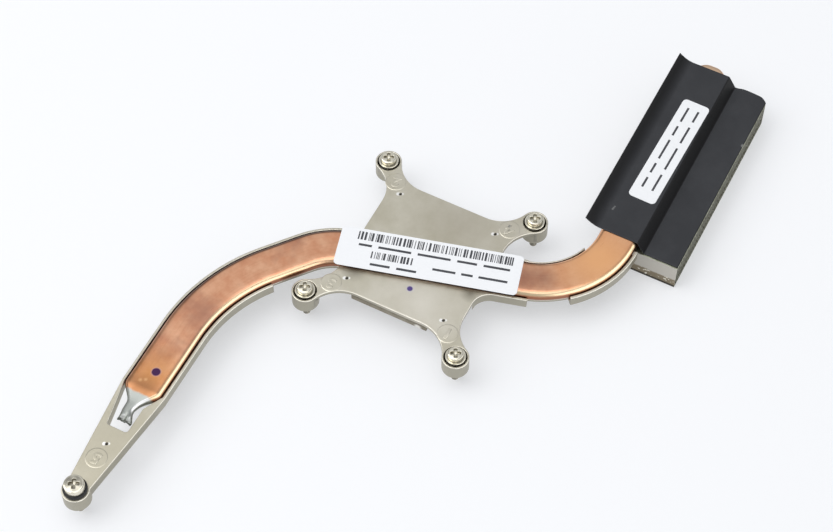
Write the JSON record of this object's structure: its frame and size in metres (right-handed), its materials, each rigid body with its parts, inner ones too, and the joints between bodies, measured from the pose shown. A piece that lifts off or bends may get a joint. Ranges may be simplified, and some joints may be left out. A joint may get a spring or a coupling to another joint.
{
  "type": "laptop heatsink",
  "caption": "Laptop heatsink: a cast carrier with sprung captive screws, a flattened and bent heat pipe, a copper contact block and a folded-fin pack under black film.",
  "frame": {"origin": "middle of the four processor screws, on the face that touches the processor", "axes": "+Z away from the processor, +Y along the heatsink's length towards the fin end, +X towards the fin leg"},
  "size_m": [0.1118, 0.1982, 0.0146],
  "materials": {
    "nickel_casting": "satin",
    "copper": "satin",
    "fin_metal": "satin",
    "black_film": "satin",
    "label_paper": "matte",
    "screw_steel": "polished",
    "ring_steel": "satin",
    "washer_rubber": "matte"
  },
  "bodies": {
    "carrier": {"carrier_plate": "nickel_casting", "contact_block": "copper", "heat_pipe": "copper", "fin_pack": "fin_metal", "cover_film": "black_film", "base_film": "black_film", "main_label": "label_paper", "fin_label": "label_paper", "rubber_washer": "washer_rubber", "spring_1": "screw_steel", "spring_2": "screw_steel", "spring_3": "screw_steel", "spring_4": "screw_steel"},
    "ring_1": {"retaining_ring_1": "ring_steel"},
    "captive_screw_1": {"screw_1": "screw_steel"},
    "ring_2": {"retaining_ring_2": "ring_steel"},
    "captive_screw_2": {"screw_2": "screw_steel"},
    "ring_3": {"retaining_ring_3": "ring_steel"},
    "captive_screw_3": {"screw_3": "screw_steel"},
    "ring_4": {"retaining_ring_4": "ring_steel"},
    "captive_screw_4": {"screw_4": "screw_steel"},
    "arm_screw": {"screw_5": "screw_steel", "retaining_ring_5": "ring_steel"}
  },
  "joints": [
    {"name": "screw_1_press", "type": "slide", "parent": "carrier", "child": "ring_1", "axis": [0, 0, -1], "range_m": [0, 0.0015], "stiffness_N_per_m": 1500, "deforming": ["spring_1"]},
    {"name": "screw_1_turn", "type": "hinge", "parent": "ring_1", "child": "captive_screw_1", "pos_m": [-0.022, 0.0235, 0.003], "axis": [0, 0, 1], "continuous": true},
    {"name": "screw_2_press", "type": "slide", "parent": "carrier", "child": "ring_2", "axis": [0, 0, -1], "range_m": [0, 0.0015], "stiffness_N_per_m": 1500, "deforming": ["spring_2"]},
    {"name": "screw_2_turn", "type": "hinge", "parent": "ring_2", "child": "captive_screw_2", "pos_m": [0.022, 0.0235, 0.003], "axis": [0, 0, 1], "continuous": true},
    {"name": "screw_3_press", "type": "slide", "parent": "carrier", "child": "ring_3", "axis": [0, 0, -1], "range_m": [0, 0.0015], "stiffness_N_per_m": 1500, "deforming": ["spring_3"]},
    {"name": "screw_3_turn", "type": "hinge", "parent": "ring_3", "child": "captive_screw_3", "pos_m": [-0.022, -0.0235, 0.003], "axis": [0, 0, 1], "continuous": true},
    {"name": "screw_4_press", "type": "slide", "parent": "carrier", "child": "ring_4", "axis": [0, 0, -1], "range_m": [0, 0.0015], "stiffness_N_per_m": 1500, "deforming": ["spring_4"]},
    {"name": "screw_4_turn", "type": "hinge", "parent": "ring_4", "child": "captive_screw_4", "pos_m": [0.022, -0.0235, 0.003], "axis": [0, 0, 1], "continuous": true},
    {"name": "screw_5_turn", "type": "hinge", "parent": "carrier", "child": "arm_screw", "pos_m": [-0.044, -0.1003, 0.003], "axis": [0, 0, 1], "continuous": true}
  ]
}
